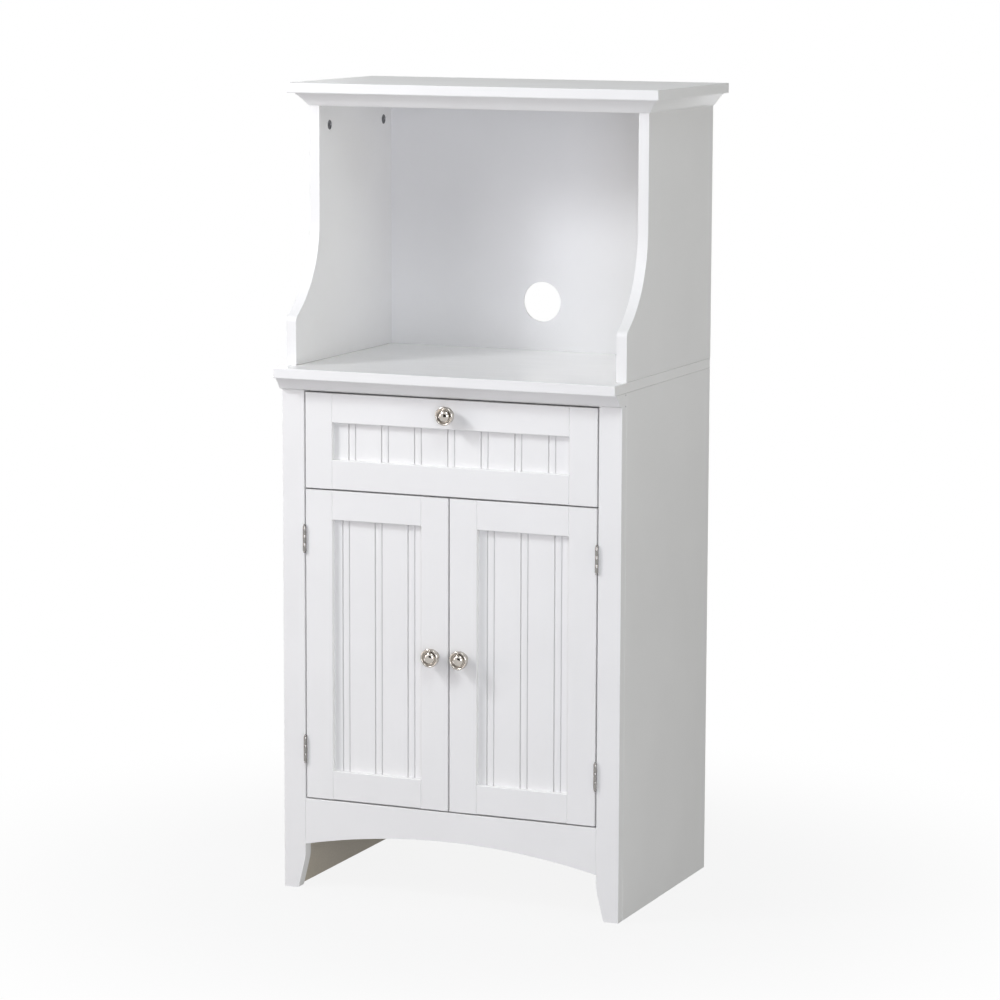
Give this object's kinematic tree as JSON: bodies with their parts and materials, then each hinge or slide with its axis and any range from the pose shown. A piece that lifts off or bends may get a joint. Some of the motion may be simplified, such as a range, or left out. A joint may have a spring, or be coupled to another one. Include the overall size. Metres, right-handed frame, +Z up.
{
  "type": "microwave cabinet",
  "caption": "Tall white cabinet with an open microwave bay over a counter, a drawer on roller slides, and a cupboard with paired beaded doors and an arched apron.",
  "frame": {"origin": "on the floor, under the middle of the overall width and depth", "axes": "+Z up, +X to the right seen from the front, +Y towards the wall; the doors face -Y"},
  "size_m": [0.5968, 0.4, 1.2192],
  "materials": {
    "painted_wood": "satin white paint over smooth board",
    "painted_hardboard": "white painted hardboard",
    "polished_nickel": "polished nickel",
    "zinc_steel": "bright zinc plate",
    "white_nylon": "white nylon"
  },
  "bodies": {
    "cabinet": {"top_board": "painted_wood", "crown_front": "painted_wood", "crown_left": "painted_wood", "crown_right": "painted_wood", "hutch_side_left": "painted_wood", "hutch_side_right": "painted_wood", "hutch_back_panel": "painted_hardboard", "counter_board": "painted_wood", "counter_moulding": "painted_wood", "frame_top_rail": "painted_wood", "stile_left": "painted_wood", "stile_right": "painted_wood", "apron": "painted_wood", "base_side_left": "painted_wood", "base_side_right": "painted_wood", "base_back_panel": "painted_hardboard", "bottom_panel": "painted_wood", "divider_rail": "painted_wood", "shelf": "painted_wood", "shelf_pins": "zinc_steel", "cam_locks": "zinc_steel", "cam_bolts": "zinc_steel", "slide_cleats": "painted_wood", "slide_channel_left": "zinc_steel", "slide_channel_right": "zinc_steel", "hinge_frame_leaves": "polished_nickel", "hinge_pins": "polished_nickel", "catch_bodies": "white_nylon"},
    "drawer": {"drawer_front_stile_left": "painted_wood", "drawer_front_stile_right": "painted_wood", "drawer_front_rail_top": "painted_wood", "drawer_front_rail_bottom": "painted_wood", "drawer_front_panel": "painted_wood", "drawer_side_left": "painted_wood", "drawer_side_right": "painted_wood", "drawer_back": "painted_wood", "drawer_bottom": "painted_hardboard", "drawer_knob": "polished_nickel", "slide_runner_left": "zinc_steel", "slide_runner_right": "zinc_steel"},
    "front_roller_left": {"channel_roller_left": "white_nylon"},
    "front_roller_right": {"channel_roller_right": "white_nylon"},
    "rear_roller_left": {"runner_roller_left": "white_nylon"},
    "rear_roller_right": {"runner_roller_right": "white_nylon"},
    "left_door": {"left_door_hinge_stile": "painted_wood", "left_door_meeting_stile": "painted_wood", "left_door_top_rail": "painted_wood", "left_door_bottom_rail": "painted_wood", "left_door_panel": "painted_wood", "left_door_knob": "polished_nickel", "left_door_hinge_leaves": "polished_nickel", "left_door_strike": "zinc_steel"},
    "right_door": {"right_door_hinge_stile": "painted_wood", "right_door_meeting_stile": "painted_wood", "right_door_top_rail": "painted_wood", "right_door_bottom_rail": "painted_wood", "right_door_panel": "painted_wood", "right_door_knob": "polished_nickel", "right_door_hinge_leaves": "polished_nickel", "right_door_strike": "zinc_steel"}
  },
  "joints": [
    {"name": "drawer_slide", "type": "slide", "parent": "cabinet", "child": "drawer", "axis": [0, -1, 0], "range_m": [0, 0.225]},
    {"name": "left_door_hinge", "type": "hinge", "parent": "cabinet", "child": "left_door", "pos_m": [-0.23625, -0.17234, 0.38], "axis": [0, 0, -1], "range_deg": [0, 170]},
    {"name": "right_door_hinge", "type": "hinge", "parent": "cabinet", "child": "right_door", "pos_m": [0.23625, -0.17234, 0.38], "axis": [0, 0, 1], "range_deg": [0, 170]},
    {"name": "front_roller_left_spin", "type": "hinge", "parent": "cabinet", "child": "front_roller_left", "pos_m": [-0.23125, -0.14, 0.6368], "axis": [1, 0, 0], "range_deg": [0, 1850]},
    {"name": "front_roller_right_spin", "type": "hinge", "parent": "cabinet", "child": "front_roller_right", "pos_m": [0.23125, -0.14, 0.6368], "axis": [1, 0, 0], "range_deg": [0, 1850]},
    {"name": "rear_roller_left_spin", "type": "hinge", "parent": "drawer", "child": "rear_roller_left", "pos_m": [-0.23125, 0.14, 0.6345], "axis": [1, 0, 0], "range_deg": [0, 1850]},
    {"name": "rear_roller_right_spin", "type": "hinge", "parent": "drawer", "child": "rear_roller_right", "pos_m": [0.23125, 0.14, 0.6345], "axis": [1, 0, 0], "range_deg": [0, 1850]}
  ],
  "couplings": [
    {"joint": "front_roller_left_spin", "follows": "drawer_slide", "rad_per_m": 142.86},
    {"joint": "front_roller_right_spin", "follows": "drawer_slide", "rad_per_m": 142.86},
    {"joint": "rear_roller_left_spin", "follows": "drawer_slide", "rad_per_m": 142.86},
    {"joint": "rear_roller_right_spin", "follows": "drawer_slide", "rad_per_m": 142.86}
  ]
}
